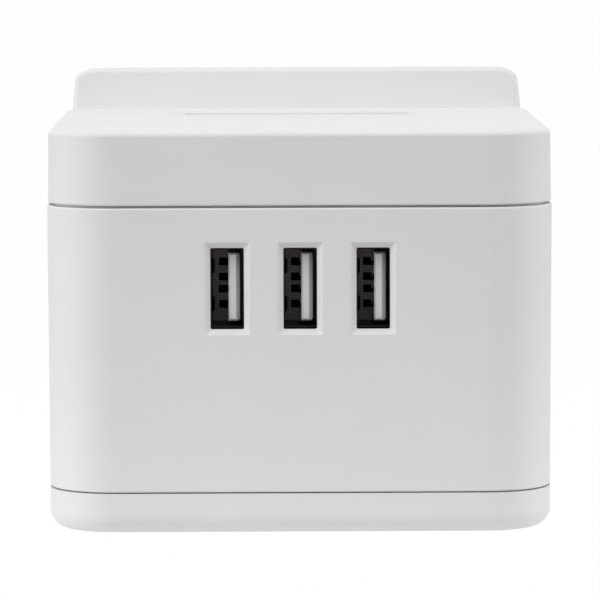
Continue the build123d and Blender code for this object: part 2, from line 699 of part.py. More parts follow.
def contact_carrier():
    """The insulating moulding behind an outlet: plate, ears, contact towers and the spring's peg."""
    carrier = chamber_panel(CHAMBER_WALL, X_PLATE, X_CARRIER, CHAMBER_R)
    ears = SlotOverall(2 * (EAR_SIDE + EAR_R), 2 * EAR_R)
    carrier += extrude(Plane.YZ.offset(X_PLATE) * Pos(0, Z_EAR) * ears, CARRIER_T)
    for y, z, width, height, x0 in TOWERS:
        wide = width + 2 * TOWER_WALL
        tall = height + 2 * TOWER_WALL
        carrier += side_panel(wide, tall, TOWER_WALL, y, z, x0, X_CARRIER)
    for y, z, width, height, x0 in TOWERS:
        carrier -= side_panel(width, height, SLOT_R, y, z, x0, X_CARRIER)
    for side in (-1, 1):
        carrier -= rod_x(SMALL_SCREW_R + SHANK_GAP, side * EAR_SIDE, Z_EAR, X_PLATE, X_CARRIER)
    half = WEDGE_W / 2 + SHUTTER_GAP
    z_low = Z_WEDGE - WEDGE_FOOT - SHUTTER_TRAVEL - SHUTTER_GAP
    carrier -= block(X_WEDGE - SHUTTER_GAP, X_CARRIER, -half, half, z_low, Z_EARTH)
    half = SPRING_SLOT_W / 2 - SHUTTER_GAP
    return carrier + block(X_PLATE, X_SHUTTER, -half, half, Z_PEG, Z_PEG + SPRING_PEG_T)


def clip_section(length):
    """The section of a spring clip, mouth at the origin: two leaves from a web, pinched, then flared."""
    back = (CLIP_BACK + STRIP_T) / 2
    neck = (CLIP_NECK + STRIP_T) / 2
    line = FilletPolyline(
        (0, back),
        (-CLIP_FLARE, neck),
        (-length, back),
        (-length, -back),
        (-CLIP_FLARE, -neck),
        (0, -back),
        radius=CLIP_BEND_R,
    )
    return make_face(offset(line, STRIP_T / 2, side=Side.BOTH))


def line_bar(side, edge):
    """A bar from one outlet's line clip across to the other's, level with a leaf of the clips."""
    y_clip = side * PIN_SIDE + LINE_CLIP_W / 2
    place = Plane((X_CLIP, y_clip, Z_LINE), x_dir=(1, 0, 0), z_dir=(0, -1, 0))
    clip = extrude(place * clip_section(LINE_CLIP_LEN), LINE_CLIP_W)
    z0 = bar_level(edge) - STRIP_T / 2
    middle = Line((X_LINE_WEB, side * PIN_SIDE), (-X_LINE_WEB, -side * PIN_SIDE))
    strip = make_face(offset(middle, STRIP_W / 2, side=Side.BOTH, kind=Kind.INTERSECTION))
    return clip + turned(clip) + extrude(Plane.XY.offset(z0) * strip, STRIP_T)


def bar_level(edge):
    """The height of a line bar's middle."""
    return Z_LINE + edge * (CLIP_BACK + STRIP_T) / 2


def earth_bar():
    """The earth bar: upright clips at both ends of a straight strip on edge."""
    place = Plane((X_CLIP, 0, Z_EARTH - EARTH_CLIP_W / 2))
    clip = extrude(place * clip_section(EARTH_CLIP_LEN), EARTH_CLIP_W)
    half = STRIP_W / 2
    strip = block(-X_EARTH_WEB, X_EARTH_WEB, -STRIP_T / 2, STRIP_T / 2, Z_EARTH - half, Z_EARTH + half)
    return clip + turned(clip) + strip


def cable_gland():
    """The bush where the flexible lead comes in: flange, barrel through the wall, and a barb inside."""
    y_wall = Y_BACK - WALL - BODY_SHRINK
    y_barb = y_wall - GLAND_GAP
    y_end = y_wall - GLAND_INNER_LEN
    gland = rod_y(GLAND_FLANGE_R, 0, Z_GLAND, Y_GLAND - GLAND_FLANGE_T, Y_GLAND)
    gland = fillet(gland.edges().group_by(Axis.Y)[-1], GLAND_EDGE_R)
    gland += rod_y(GLAND_R, 0, Z_GLAND, y_end, Y_GLAND - GLAND_FLANGE_T / 2)
    gland += rod_y(GLAND_R + GLAND_BARB, 0, Z_GLAND, y_barb - GLAND_BARB_LEN, y_barb)
    return gland - rod_y(GLAND_BORE_R, 0, Z_GLAND, y_end, Y_GLAND)


# The assembly: one file per named piece

def make_parts():
    """Every piece of the object, by name."""
    parts = {"main_body": make_body(), "top_cover": make_cover(), "base_cover": make_base()}
    for i, (x, y) in enumerate(BOSS_SPOTS, 1):
        parts[f"foot_{i}"] = make_foot(x, y)
    for i, x in enumerate(PORT_X, 1):
        parts[f"usb_shell_{i}"] = usb_shell(x)
        parts[f"usb_insulator_{i}"] = usb_insulator(x)
        parts[f"usb_contacts_{i}"] = Compound(usb_contacts(x))
    parts["charger_board"] = charger_board()
    parts["transformer_core"] = transformer_core()
    parts["transformer_winding"] = transformer_winding()
    parts["input_capacitor"] = capacitor(INPUT_CAP_R, INPUT_CAP_L, INPUT_CAP_SIDE)
    parts["output_capacitor"] = capacitor(OUTPUT_CAP_R, OUTPUT_CAP_L, OUTPUT_CAP_SIDE)
    parts["charge_controller"] = charge_controller()
    outlet = {
        "socket_face": socket_face(),
        "shutter": shutter(),
        "shutter_spring": shutter_spring(),
        "contact_carrier": contact_carrier(),
    }
    for name, piece in outlet.items():
        parts[f"{name}_right"] = piece
        parts[f"{name}_left"] = turned(piece)
    parts["live_bar"] = line_bar(1, -1)
    parts["neutral_bar"] = line_bar(-1, 1)
    parts["earth_bar"] = earth_bar()
    parts["live_wire"] = feed_wire(-1, -1)
    parts["neutral_wire"] = feed_wire(1, 1)
    parts["cable_gland"] = cable_gland()
    parts["case_screws"] = Compound(case_screws())
    parts["board_screws"] = Compound(board_screws())
    parts["carrier_screws"] = Compound(carrier_screws())
    return parts


os.makedirs("parts", exist_ok=True)
for node, shape in make_parts().items():
    export_step(shape, f"parts/{node}.step")
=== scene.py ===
"""Looks for a cube extension lead: its finishes, its fine pieces and a plain studio.

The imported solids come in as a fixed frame. Each one gets a finish here, the small turned and wound
pieces are made again with finer detail, and the camera stands where the photograph was taken from.
"""

from __future__ import annotations

import itertools
import json
import logging
import math
from dataclasses import dataclass, field
from enum import Enum

import bmesh
import bpy
from mathutils import Matrix, Vector

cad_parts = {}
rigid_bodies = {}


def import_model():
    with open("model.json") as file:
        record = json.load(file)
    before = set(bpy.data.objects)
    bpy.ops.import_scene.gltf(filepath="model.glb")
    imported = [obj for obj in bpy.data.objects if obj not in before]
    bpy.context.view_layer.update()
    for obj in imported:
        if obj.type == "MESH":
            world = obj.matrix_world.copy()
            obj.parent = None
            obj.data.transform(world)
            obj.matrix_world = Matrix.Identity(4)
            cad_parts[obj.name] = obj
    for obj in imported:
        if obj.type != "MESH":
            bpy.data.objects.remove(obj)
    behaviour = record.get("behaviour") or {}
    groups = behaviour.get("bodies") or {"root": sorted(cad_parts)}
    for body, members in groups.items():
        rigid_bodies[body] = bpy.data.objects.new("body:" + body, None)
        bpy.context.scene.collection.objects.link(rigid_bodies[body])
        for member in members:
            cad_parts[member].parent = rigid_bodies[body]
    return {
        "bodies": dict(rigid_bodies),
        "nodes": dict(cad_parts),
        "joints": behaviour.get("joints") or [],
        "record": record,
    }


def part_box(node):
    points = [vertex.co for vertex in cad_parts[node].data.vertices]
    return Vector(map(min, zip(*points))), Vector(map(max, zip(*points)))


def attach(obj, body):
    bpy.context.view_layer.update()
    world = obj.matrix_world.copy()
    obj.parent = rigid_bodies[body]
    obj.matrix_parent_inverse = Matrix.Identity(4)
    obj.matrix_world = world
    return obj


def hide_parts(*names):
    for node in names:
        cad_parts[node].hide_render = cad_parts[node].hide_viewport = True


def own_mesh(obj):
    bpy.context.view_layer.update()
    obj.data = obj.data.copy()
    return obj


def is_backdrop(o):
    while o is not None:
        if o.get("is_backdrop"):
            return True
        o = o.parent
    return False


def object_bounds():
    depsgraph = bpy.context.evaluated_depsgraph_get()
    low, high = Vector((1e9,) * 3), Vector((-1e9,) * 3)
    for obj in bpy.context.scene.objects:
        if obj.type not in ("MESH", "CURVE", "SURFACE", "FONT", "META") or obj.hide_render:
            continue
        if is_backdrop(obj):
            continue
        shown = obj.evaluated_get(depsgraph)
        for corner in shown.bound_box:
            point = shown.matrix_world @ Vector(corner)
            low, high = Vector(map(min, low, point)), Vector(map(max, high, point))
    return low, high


LOG = logging.getLogger("extension_lead")
MM = 0.001
DIGITS = 7
SHARP = math.radians(40)
WHITE = (1.0, 1.0, 1.0, 1.0)
Triple = tuple[float, float, float]
Rgb = Triple
Span = tuple[float, float]
Place = tuple[Vector, Vector]
Socket = bpy.types.NodeSocket


class Graph:
    """A node tree, with a short way to add nodes to it and join them.

    Args:
        tree: the tree to work on.
    """

    def __init__(self, tree: bpy.types.NodeTree) -> None:
        self.tree = tree

    def add(self, kind: str, **inputs: object) -> bpy.types.Node:
        """Add a node and set its inputs; a name with an underscore is one with a space.

        Args:
            kind: the node's type name.
            inputs: a value or a socket for each named input.

        Returns:
            The new node.
        """
        node = self.tree.nodes.new(kind)
        for name, value in inputs.items():
            self.join(value, node.inputs[name.replace("_", " ")])
        return node

    def join(self, source: object, target: Socket) -> None:
        """Feed an input from a socket, or set it to a plain value."""
        if isinstance(source, Socket):
            self.tree.links.new(source, target)
        else:
            target.default_value = source

    def math(self, step: str, first: float | Socket, second: float | Socket) -> Socket:
        """Add a calculation with two values.

        Args:
            step: the operation.
            first: its first value.
            second: its second value.

        Returns:
            The result's socket.
        """
        node = self.tree.nodes.new("ShaderNodeMath")
        node.operation = step
        self.join(first, node.inputs[0])
        self.join(second, node.inputs[1])
        return node.outputs["Value"]


# Finishes

# Where cloud noise mostly lies, and the radians per metre of a wave texture at a scale of 1
NOISE_RANGE: Span = (0.3, 0.7)
WAVE_RATE = 20.0
# The colour sockets of a mix node, by their numbers
MIX_COLOURS = (6, 7)
MIX_RESULT = 2
# How far the clouds are drawn out along rolled sheet
ROLLED_STRETCH: Triple = (1, 40, 1)


class Relief(Enum):
    """How the fine relief of a surface runs."""

    SPARKED = "even grain of a spark-eroded mould"
    ROLLED = "long faint lines of rolled sheet"
    CAST = "lumpy skin of a cast or sintered piece"
    WOUND = "narrow bands of a wound coil"
    WOVEN = "crossing threads of a laminate"


class Shader(Graph):
    """A material's node tree, with the textures and reliefs that the finishes share.

    Args:
        name: the material's name.
    """

    def __init__(self, name: str) -> None:
        self.material = bpy.data.materials.new(name)
        self.material.use_nodes = True
        super().__init__(self.material.node_tree)
        self.surface = self.tree.nodes["Principled BSDF"]
        self.place = self.add("ShaderNodeTexCoord").outputs["Object"]
        self.normal: Socket | None = None

    def feed(self, source: float | Socket, name: str) -> None:
        """Join a socket to one of the surface's inputs, or set it to a plain value."""
        self.join(source, self.surface.inputs[name])

    def noise(self, size: float, detail: float = 2.0, stretch: Triple = (1, 1, 1)) -> Socket:
        """Add cloud noise.

        Args:
            size: the width of one cloud in metres.
            detail: how many finer layers it has.
            stretch: how much longer a cloud is along each axis.

        Returns:
            The noise's value, mostly within NOISE_RANGE.
        """
        scale = tuple(1 / (size * longer) for longer in stretch)
        place = self.add("ShaderNodeMapping", Vector=self.place, Scale=scale).outputs["Vector"]
        return self.add("ShaderNodeTexNoise", Vector=place, Scale=1.0, Detail=detail).outputs["Fac"]

    def cells(self, size: float) -> Socket:
        """Add rounded cells of a width in metres, and return the distance within them."""
        return self.add("ShaderNodeTexVoronoi", Vector=self.place, Scale=1 / size).outputs["Distance"]

    def bands(self, width: float, axis: str) -> Socket:
        """Add even bands of a width in metres, and return their wave.

        Args:
            width: from one band to the next.
            axis: the axis that the bands follow each other along, X, Y or Z.

        Returns:
            The wave's value, 0 to 1.
        """
        wave = self.add("ShaderNodeTexWave", Vector=self.place, Scale=2 * math.pi / (WAVE_RATE * width))
        wave.bands_direction = axis
        return wave.outputs["Fac"]

    def span(self, source: Socket, low: float, high: float) -> Socket:
        """Spread a noise's values over a range, and return the result."""
        first, last = NOISE_RANGE
        ranged = self.add(
            "ShaderNodeMapRange", Value=source, From_Min=first, From_Max=last, To_Min=low, To_Max=high,
        )
        return ranged.outputs["Result"]

    def tint(self, source: Socket, first: Rgb | Socket, second: Rgb) -> Socket:
        """Blend two colours by a value, and return the colour."""
        mix = self.tree.nodes.new("ShaderNodeMix")
        mix.data_type = "RGBA"
        self.join(source, mix.inputs["Factor"])
        for colour, index in zip((first, second), MIX_COLOURS):
            self.join(colour if isinstance(colour, Socket) else (*colour, 1), mix.inputs[index])
        return mix.outputs[MIX_RESULT]

    def raise_by(self, height: Socket, depth: float) -> None:
        """Add a relief of a depth in metres on top of those added before."""
        bump = self.add("ShaderNodeBump", Height=height, Strength=1.0, Distance=depth)
        if self.normal is not None:
            self.join(self.normal, bump.inputs["Normal"])
        self.normal = bump.outputs["Normal"]


@dataclass(frozen=True)
class Finish:
    """A procedural surface: a tone that drifts, a gloss that varies and a fine relief.

    Attributes:
        name: the record's material slot that it dresses.
        tone: its main colour, linear.
        drift: the colour that it drifts towards.
        gloss: the roughness at its glossiest and at its dullest.
        relief: how its fine relief runs.
        grain: the width of the relief's marks, in metres.
        depth: the relief's depth, in metres.
        patch: the width of the slow changes in tone and gloss, in metres.
        metal: 1 for bare metal.
        shine: how much light its surface mirrors, 0.5 for common plastic.
    """

    name: str
    tone: Rgb
    drift: Rgb
    gloss: Span
    relief: Relief
    grain: float
    depth: float
    patch: float = 12 * MM
    metal: float = 0.0
    shine: float = 0.5

    def make(self) -> bpy.types.Material:
        """Build the material."""
        shader = Shader(self.name)
        shader.feed(self.colour(shader), "Base Color")
        sheen = shader.noise(self.patch / 3, detail=4.0)
        shader.feed(shader.span(sheen, *self.gloss), "Roughness")
        shader.feed(self.metal, "Metallic")
        shader.feed(self.shine, "Specular IOR Level")
        for height, depth in self.heights(shader):
            shader.raise_by(height, depth)
        shader.feed(shader.normal, "Normal")
        return shader.material

    def colour(self, shader: Shader) -> Socket:
        """Add the drifting tone to a material, and return its colour."""
        patches = shader.span(shader.noise(self.patch, detail=3.0), 0.0, 1.0)
        return shader.tint(patches, self.tone, self.drift)

    def heights(self, shader: Shader) -> list[tuple[Socket, float]]:
        """The relief's layers.

        Args:
            shader: the material to add their nodes to.

        Returns:
            The height socket and depth of each layer.
        """
        if self.relief is Relief.SPARKED:
            return [(shader.noise(self.grain), self.depth)]
        if self.relief is Relief.ROLLED:
            return [(shader.noise(self.grain, stretch=ROLLED_STRETCH), self.depth)]
        if self.relief is Relief.CAST:
            fine = shader.noise(self.grain / 3)
            return [(shader.cells(self.grain), self.depth), (fine, self.depth / 2)]
        if self.relief is Relief.WOUND:
            return [(shader.bands(self.grain, "X"), self.depth)]
        return [(shader.bands(self.grain, "X"), self.depth), (shader.bands(self.grain, "Z"), self.depth)]


@dataclass(frozen=True)
class PaintedShadeFinish(Finish):
    """A finish with painted shade: its own tone in front, and a dark painted shade deeper along Y, where
    the inside of a port falls in shade.

    Attributes:
        shade_tone: the colour of the painted shade deeper than the plane, linear.
        shade_from: where the painted shade starts along Y, in metres.
    """

    shade_tone: Rgb = (0, 0, 0)
    shade_from: float = 0.0

    def colour(self, shader: Shader) -> Socket:
        """Add the tone and the painted shade to a material, and return their colour."""
        along = shader.add("ShaderNodeSeparateXYZ", Vector=shader.place).outputs["Y"]
        # Painted shade: everything deeper along Y than the plane takes the dark tone
        in_shade = shader.math("GREATER_THAN", along, self.shade_from)
        return shader.tint(in_shade, super().colour(shader), self.shade_tone)


FINISHES = (
    Finish(
        "case_plastic", tone=(0.80, 0.80, 0.80), drift=(0.785, 0.785, 0.782), gloss=(0.60, 0.70),
        relief=Relief.SPARKED, grain=0.25 * MM, depth=0.004 * MM, patch=20 * MM, shine=0.25,
    ),
    Finish(
        "outlet_plastic", tone=(0.80, 0.80, 0.80), drift=(0.785, 0.785, 0.782), gloss=(0.44, 0.52),
        relief=Relief.SPARKED, grain=0.3 * MM, depth=0.003 * MM, shine=0.3,
    ),
    Finish(
        "shutter_plastic", tone=(0.62, 0.62, 0.61), drift=(0.58, 0.58, 0.57), gloss=(0.30, 0.40),
        relief=Relief.SPARKED, grain=0.3 * MM, depth=0.003 * MM,
    ),
    Finish(
        "carrier_plastic", tone=(0.05, 0.05, 0.053), drift=(0.04, 0.04, 0.042), gloss=(0.45, 0.55),
        relief=Relief.SPARKED, grain=0.3 * MM, depth=0.005 * MM,
    ),
    # The shells' near-black tone is painted shade: plated steel darkened so the rim and walls inside the
    # port look shaded
    Finish(
        "usb_steel", tone=(0.015, 0.0145, 0.014), drift=(0.011, 0.0105, 0.010), gloss=(0.30, 0.44),
        relief=Relief.ROLLED, grain=0.06 * MM, depth=0.002 * MM, patch=4 * MM, metal=1.0,
    ),
    # The insulator's deep part is painted shade, far darker than its tongue, where the inside of the port
    # falls in shade
    PaintedShadeFinish(
        "usb_insulator", tone=(0.84, 0.84, 0.85), drift=(0.80, 0.80, 0.81), gloss=(0.38, 0.5),
        relief=Relief.SPARKED, grain=0.2 * MM, depth=0.003 * MM, patch=5 * MM,
        shade_tone=(0.185, 0.162, 0.152), shade_from=-31.5 * MM,
    ),
    Finish(
        "contact_plating", tone=(0.83, 0.62, 0.27), drift=(0.78, 0.55, 0.22), gloss=(0.16, 0.28),
        relief=Relief.ROLLED, grain=0.05 * MM, depth=0.001 * MM, patch=3 * MM, metal=1.0,
    ),
    # The board's near-black tone is partly a dark solder mask and partly painted shade for the dark inside
    # of the ports
    Finish(
        "board", tone=(0.006, 0.009, 0.007), drift=(0.009, 0.012, 0.010), gloss=(0.5, 0.62),
        relief=Relief.WOVEN, grain=0.4 * MM, depth=0.004 * MM, shine=0.1,
    ),
    Finish(
        "ferrite", tone=(0.03, 0.03, 0.032), drift=(0.045, 0.044, 0.044), gloss=(0.55, 0.7),
        relief=Relief.CAST, grain=0.5 * MM, depth=0.03 * MM,
    ),
    Finish(
        "winding", tone=(0.75, 0.52, 0.04), drift=(0.68, 0.45, 0.03), gloss=(0.25, 0.4),
        relief=Relief.WOUND, grain=0.5 * MM, depth=0.06 * MM,
    ),
    Finish(
        "capacitor_can", tone=(0.07, 0.08, 0.10), drift=(0.09, 0.10, 0.12), gloss=(0.28, 0.4),
        relief=Relief.ROLLED, grain=0.2 * MM, depth=0.003 * MM,
    ),
    Finish(
        "chip", tone=(0.014, 0.014, 0.015), drift=(0.02, 0.02, 0.021), gloss=(0.5, 0.62),
        relief=Relief.CAST, grain=0.15 * MM, depth=0.006 * MM,
    ),
    Finish(
        "bar_brass", tone=(0.72, 0.47, 0.16), drift=(0.62, 0.38, 0.12), gloss=(0.22, 0.38),
        relief=Relief.ROLLED, grain=0.08 * MM, depth=0.003 * MM, patch=8 * MM, metal=1.0,
    ),
    Finish(
        "live_insulation", tone=(0.09, 0.03, 0.012), drift=(0.075, 0.025, 0.01), gloss=(0.35, 0.45),
        relief=Relief.SPARKED, grain=0.2 * MM, depth=0.006 * MM,
    ),
    Finish(
        "neutral_insulation", tone=(0.01, 0.05, 0.28), drift=(0.01, 0.04, 0.24), gloss=(0.35, 0.45),
        relief=Relief.SPARKED, grain=0.2 * MM, depth=0.006 * MM,
    ),
    Finish(
        "gland", tone=(0.62, 0.62, 0.62), drift=(0.57, 0.57, 0.57), gloss=(0.5, 0.62),
        relief=Relief.SPARKED, grain=0.3 * MM, depth=0.006 * MM,
    ),
    Finish(
        "foot_rubber", tone=(0.045, 0.045, 0.046), drift=(0.06, 0.06, 0.06), gloss=(0.6, 0.75),
        relief=Relief.CAST, grain=0.25 * MM, depth=0.012 * MM, patch=4 * MM,
    ),
    Finish(
        "screw_steel", tone=(0.50, 0.49, 0.46), drift=(0.42, 0.42, 0.41), gloss=(0.25, 0.4),
        relief=Relief.CAST, grain=0.2 * MM, depth=0.003 * MM, patch=3 * MM, metal=1.0,
    ),
    Finish(
        "spring_steel", tone=(0.40, 0.40, 0.41), drift=(0.32, 0.32, 0.33), gloss=(0.22, 0.35),
        relief=Relief.CAST, grain=0.15 * MM, depth=0.002 * MM, patch=3 * MM, metal=1.0,
    ),
)


class Wardrobe:
    """Every finish as a material, by the record's slot name."""

    def __init__(self) -> None:
        self.materials = {finish.name: finish.make() for finish in FINISHES}

    def dress(self, frame: dict) -> None:
        """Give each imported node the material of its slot.

        Args:
            frame: what the frame's loading returned.
        """
        for subpart in frame["record"]["subparts"]:
            node = frame["nodes"][subpart["node"]]
            for slot in node.material_slots:
                slot.material = self.materials[subpart["material_slot"]]
            LOG.info("dressed %s as %s", node.name, subpart["material_slot"])


# Pieces made again with finer detail

class Recipe(Graph):
    """A geometry node tree with named inputs, and the way to turn its result into a plain piece.

    Args:
        name: the tree's name.
    """

    def __init__(self, name: str) -> None:
        super().__init__(bpy.data.node_groups.new(name, "GeometryNodeTree"))
        self.tree.interface.new_socket("Places", in_out="INPUT", socket_type="NodeSocketGeometry")
        self.tree.interface.new_socket("Piece", in_out="OUTPUT", socket_type="NodeSocketGeometry")
        self.inlet = self.tree.nodes.new("NodeGroupInput")
        self.keys: dict[str, str] = {}

    def value(self, name: str, kind: str = "Float") -> Socket:
        """Add a named input and return its socket.

        Args:
            name: the input's name.
            kind: the kind of value, such as Float, Vector, Object or Material.

        Returns:
            The input's socket inside the tree.
        """
        item = self.tree.interface.new_socket(name, in_out="INPUT", socket_type=f"NodeSocket{kind}")
        self.keys[name] = item.identifier
        return self.inlet.outputs[name]

    def repeat(self, shape: Socket) -> Socket:
        """Put a shape at each place, with its Z axis along the place's aim, and return the copies."""
        aim = self.add("GeometryNodeInputNamedAttribute", Name="aim")
        aim.data_type = "FLOAT_VECTOR"
        turn = self.add("FunctionNodeAlignRotationToVector", Vector=aim.outputs["Attribute"])
        turn.axis = "Z"
        copies = self.add(
            "GeometryNodeInstanceOnPoints",
            Points=self.inlet.outputs["Places"], Instance=shape, Rotation=turn.outputs["Rotation"],
        )
        return copies.outputs["Instances"]

    def end(self, shape: Socket) -> None:
        """Close the tree: make the copies real and give them their material."""
        real = self.add("GeometryNodeRealizeInstances", Geometry=shape).outputs["Geometry"]
        finish = self.value("Finish", "Material")
        dressed = self.add("GeometryNodeSetMaterial", Geometry=real, Material=finish)
        outlet = self.tree.nodes.new("NodeGroupOutput")
        self.join(dressed.outputs["Geometry"], outlet.inputs["Piece"])

    def bake(self, name: str, places: list[Place], **values: object) -> bpy.types.Object:
        """Run the tree on some places and keep the result as a plain mesh.

        Args:
            name: the piece's name.
            places: a point and an aim for each copy.
            values: a value for each named input; a name with an underscore is one with a space.

        Returns:
            The piece, at the origin, with no modifier.
        """
        mesh = bpy.data.meshes.new(f"{name}_places")
        mesh.from_pydata([point for point, _ in places], [], [])
        aims = mesh.attributes.new("aim", "FLOAT_VECTOR", "POINT")
        for entry, (_, aim) in zip(aims.data, places):
            entry.vector = aim
        piece = bpy.data.objects.new(name, mesh)
        bpy.context.scene.collection.objects.link(piece)
        modifier = piece.modifiers.new("recipe", "NODES")
        modifier.node_group = self.tree
        for key, value in values.items():
            modifier[self.keys[key.replace("_", " ")]] = value
        graph = bpy.context.evaluated_depsgraph_get()
        made = bpy.data.meshes.new_from_object(piece.evaluated_get(graph))
        piece.modifiers.remove(modifier)
        piece.data = made
        made.name = name
        bpy.data.meshes.remove(mesh)
        return piece


def link_shape(name: str, shape: bmesh.types.BMesh) -> bpy.types.Object:
    """Put a shape in the scene, with its faces outwards.

    Args:
        name: the shape's name.
        shape: its faces, which are freed.

    Returns:
        The shape as an object.
    """
    bmesh.ops.recalc_face_normals(shape, faces=shape.faces)
    mesh = bpy.data.meshes.new(name)
    shape.to_mesh(mesh)
    shape.free()
    made = bpy.data.objects.new(name, mesh)
    bpy.context.scene.collection.objects.link(made)
    return made


def turned_shape(name: str, profile: list[Span], steps: int) -> bpy.types.Object:
    """Turn a profile about Z into a closed shape.

    Args:
        name: the shape's name.
        profile: the radius and height of each corner, from one pole to the other.
        steps: how many faces there are round it.

    Returns:
        The shape, with its faces outwards, smooth but for its sharp corners.
    """
    shape = bmesh.new()
    rings = []
    for radius, height in profile:
        if radius == 0:
            rings.append([shape.verts.new((0, 0, height))] * steps)
            continue
        turns = [Matrix.Rotation(2 * math.pi * i / steps, 3, "Z") for i in range(steps)]
        rings.append([shape.verts.new(turn @ Vector((radius, 0, height))) for turn in turns])
    for lower, upper in zip(rings, rings[1:]):
        for i in range(steps):
            j = (i + 1) % steps
            shape.faces.new(dict.fromkeys((lower[i], lower[j], upper[j], upper[i])))
    made = link_shape(name, shape)
    made.data.shade_smooth()
    made.data.set_sharp_from_angle(angle=SHARP)
    return made


def settle(piece: bpy.types.Object, slot: str, *nodes: str) -> None:
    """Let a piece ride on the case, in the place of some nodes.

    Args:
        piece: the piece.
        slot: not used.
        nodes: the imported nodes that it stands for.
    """
    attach(piece, "case")
    if nodes:
        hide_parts(*nodes)
    LOG.info("made %s, %d faces", piece.name, len(piece.data.polygons))


@dataclass
class Copies:
    """Small pieces that are one turned shape, repeated."""

    recipe: Recipe = field(default_factory=lambda: Recipe("copies"))

    def __post_init__(self) -> None:
        shape = self.recipe.value("Shape", "Object")
        form = self.recipe.add("GeometryNodeObjectInfo", Object=shape)
        self.recipe.end(self.recipe.repeat(form.outputs["Geometry"]))

    def make(
        self, name: str, shape: bpy.types.Object, places: list[Place], finish: bpy.types.Material,
    ) -> bpy.types.Object:
        """Repeat a shape, and drop the single one.

        Args:
            name: the piece's name.
            shape: what is repeated.
            places: where, and which way up.
            finish: the material.

        Returns:
            The piece.
        """
        piece = self.recipe.bake(name, places, Shape=shape, Finish=finish)
        bpy.data.objects.remove(shape)
        return piece


@dataclass
class FootPads:
    """The rubber feet, each with ring ribs underneath that grip.

    Attributes:
        count: how many feet there are.
        ribs: how many rings each one has.
        groove: how deep the grooves between the rings are.
        edge: the rounding of the lower rim.
        rib: where a groove ends and the rib begins and ends, as shares of a ring's width.
        steps: how many faces there are round it.
    """

    count: int = 4
    ribs: int = 5
    groove: float = 0.25 * MM
    edge: float = 0.3 * MM
    rib: Triple = (0.25, 0.4, 0.85)
    steps: int = 64

    def profile(self, radius: float, height: float) -> list[Span]:
        """The section of a pad, from the middle of its underside to the middle of its top."""
        step = (radius - self.edge) / self.ribs
        foot, start, end = self.rib
        ring = ((foot, self.groove), (start, 0.0), (end, 0.0), (1.0, self.groove))
        corners = [(0.0, self.groove)]
        for i in range(self.ribs):
            corners += [((i + share) * step, level) for share, level in ring]
        third = self.edge / 3
        corners += [(radius - third, self.groove + third), (radius, self.groove + self.edge)]
        return corners + [(radius, height), (0.0, height)]

    def build(self, copies: Copies, wardrobe: Wardrobe) -> None:
        """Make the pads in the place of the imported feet."""
        nodes = [f"foot_{i + 1}" for i in range(self.count)]
        boxes = [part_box(node) for node in nodes]
        low, high = boxes[0]
        radius, height = (high[0] - low[0]) / 2, high[2] - low[2]
        shape = turned_shape("foot_pad", self.profile(radius, height), self.steps)
        up = Vector((0, 0, 1))
        places = [(Vector(((a[0] + b[0]) / 2, (a[1] + b[1]) / 2, a[2])), up) for a, b in boxes]
        piece = copies.make("foot_pads", shape, places, wardrobe.materials["foot_rubber"])
        settle(piece, "foot_rubber", *nodes)


@dataclass
class SolderJoints:
    """The solder round the receptacles' tails at the back of the charger board.

    Attributes:
        ports: how many receptacles there are.
        rows: how far each contact is above the port's middle.
        sheet: the thickness of a shell's sheet.
        contact_r: the radius of the solder round a contact.
        tail_r: the radius of the solder round a shell's tail.
        section: the corners of a joint's section, out and up, as shares of its radius.
        steps: how many faces there are round it.
    """

    ports: int = 3
    rows: tuple[float, ...] = (-3.5 * MM, -1.0 * MM, 1.0 * MM, 3.5 * MM)
    sheet: float = 0.3 * MM
    contact_r: float = 0.95 * MM
    tail_r: float = 1.5 * MM
    section: tuple[Span, ...] = (
        (0, 0), (1, 0), (0.93, 0.1), (0.75, 0.24), (0.6, 0.45), (0.45, 0.7), (0.25, 0.8), (0, 0.82),
    )
    steps: int = 20

    def profile(self, radius: float) -> list[Span]:
        """The section of a joint: a foot that curves up to the tail."""
        return [(radius * out, radius * up) for out, up in self.section]

    def build(self, copies: Copies, wardrobe: Wardrobe) -> None:
        """Make the joints on the board."""
        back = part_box("charger_board")[1][1]
        aim = Vector((0, 1, 0))
        contacts = []
        tails = []
        for i in range(1, self.ports + 1):
            low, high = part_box(f"usb_contacts_{i}")
            x, z = (low[0] + high[0]) / 2, (low[2] + high[2]) / 2
            contacts += [(Vector((x, back, z + row)), aim) for row in self.rows]
            low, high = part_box(f"usb_shell_{i}")
            x = (low[0] + high[0]) / 2
            ends = (low[2] + self.sheet / 2, high[2] - self.sheet / 2)
            tails += [(Vector((x, back, end)), aim) for end in ends]
        for name, radius, places in (
            ("contact_solder", self.contact_r, contacts), ("tail_solder", self.tail_r, tails),
        ):
            shape = turned_shape(f"{name}_joint", self.profile(radius), self.steps)
            piece = copies.make(name, shape, places, wardrobe.materials["screw_steel"])
            settle(piece, "screw_steel")


@dataclass(frozen=True)
class ScrewSize:
    """One kind of pan-head screw.

    Attributes:
        node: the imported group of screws.
        head_r: the radius of its head.
        head_h: the height of its head.
        shank_r: the radius over its thread.
        shank: the length under its head.
        aims: the ways that the screws of the group point.
    """

    node: str
    head_r: float
    head_h: float
    shank_r: float
    shank: float
    aims: tuple[Triple, ...]

    def places(self) -> list[Place]:
        """Where the undersides of the heads are, worked out from the group's box."""
        low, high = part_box(self.node)
        found = []
        for aim in self.aims:
            rows = [self.row(*ends) for ends in zip(low, high)]
            axis = max(range(3), key=lambda i: abs(aim[i]))
            tip = high[axis] if aim[axis] > 0 else low[axis]
            rows[axis] = [tip - aim[axis] * self.shank]
            found += [(Vector(point), Vector(aim)) for point in itertools.product(*rows)]
        return found

    def row(self, low: float, high: float) -> list[float]:
        """Where the screws stand along one side of the group's box: at its two ends, or once."""
        return sorted({round(low + self.head_r, DIGITS), round(high - self.head_r, DIGITS)})


